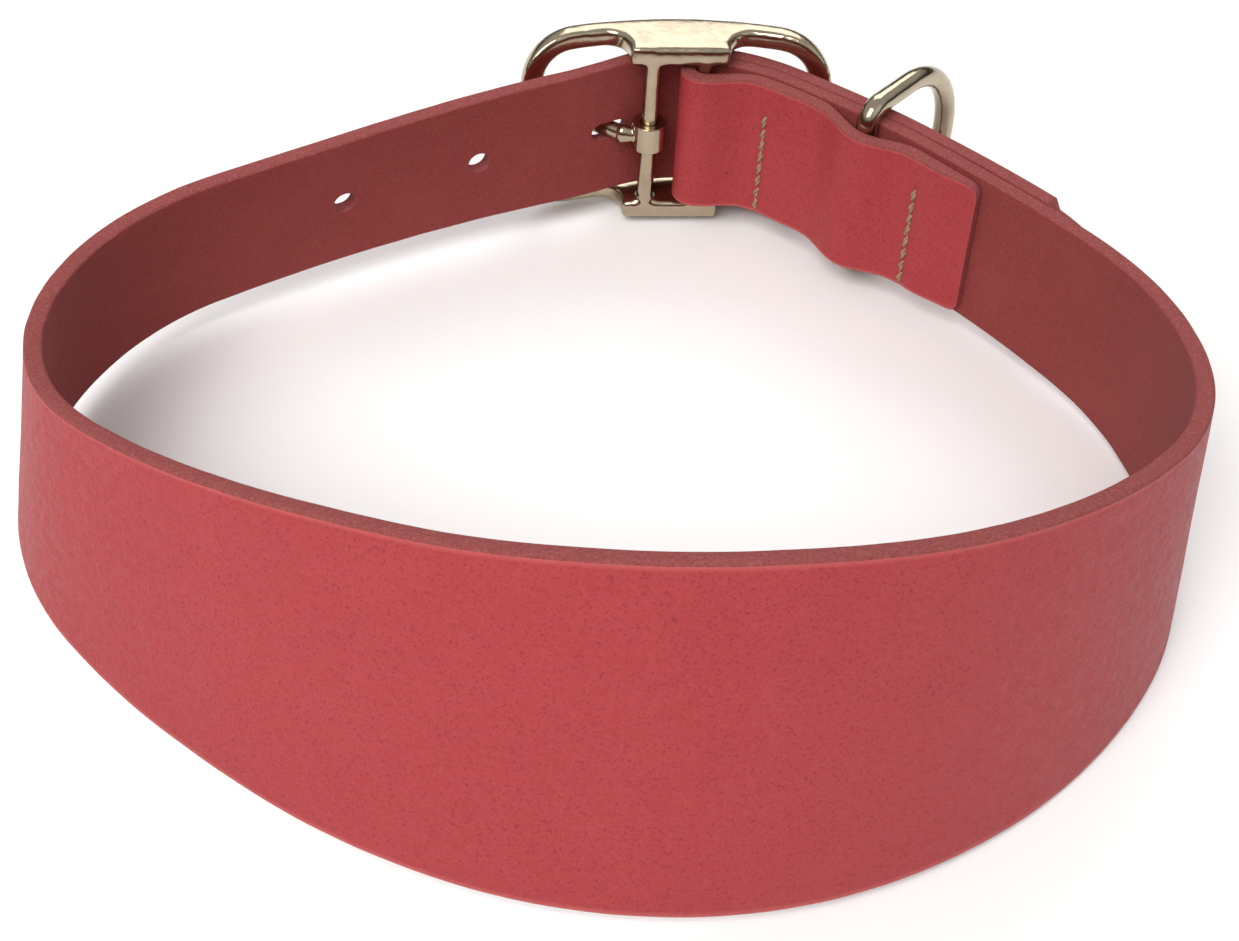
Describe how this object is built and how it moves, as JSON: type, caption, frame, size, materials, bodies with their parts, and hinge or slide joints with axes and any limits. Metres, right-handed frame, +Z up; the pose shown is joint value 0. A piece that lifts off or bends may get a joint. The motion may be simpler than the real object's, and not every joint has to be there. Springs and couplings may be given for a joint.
{
  "type": "dog collar",
  "caption": "Buckled leather sighthound collar, widest in front, with a two-bar buckle and a dee ring for a lead.",
  "frame": {"origin": "middle of the neck opening, on the surface that the buckled loop stands on", "axes": "+Z up, -Y towards the wide front of the collar, +Y towards the buckle, +X towards the dee ring's side"},
  "size_m": [0.1771, 0.1546, 0.0583],
  "materials": {
    "leather": "smooth matte grain outside, brushed flesh side inside, cut edges left raw",
    "buckle_metal": "nickel-plated casting",
    "ring_metal": "nickel-plated wire",
    "thread": "olive-tan waxed thread"
  },
  "bodies": {
    "collar_strap": {"strap": "leather", "first_row_needle_thread": "thread", "first_row_bobbin_thread": "thread", "second_row_needle_thread": "thread", "second_row_bobbin_thread": "thread"},
    "frame": {"buckle_frame": "buckle_metal"},
    "tongue": {"buckle_tongue": "buckle_metal"},
    "dee": {"dee_ring": "ring_metal"}
  },
  "joints": [
    {"name": "buckle_rock", "type": "hinge", "parent": "collar_strap", "child": "frame", "pos_m": [0.01102, 0.07247, 0.01875], "axis": [0.0022, 0.0639, 0.998], "range_deg": [-2, 2.5]},
    {"name": "tongue_lift", "type": "hinge", "parent": "frame", "child": "tongue", "pos_m": [0.00207, 0.07156, 0.01883], "axis": [-0.0022, -0.0639, -0.998], "range_deg": [0, 6]},
    {"name": "dee_swing", "type": "hinge", "parent": "collar_strap", "child": "dee", "pos_m": [0.03815, 0.05903, 0.01848], "axis": [-0.0033, 0.0807, 0.9967], "range_deg": [-45, 42]}
  ]
}
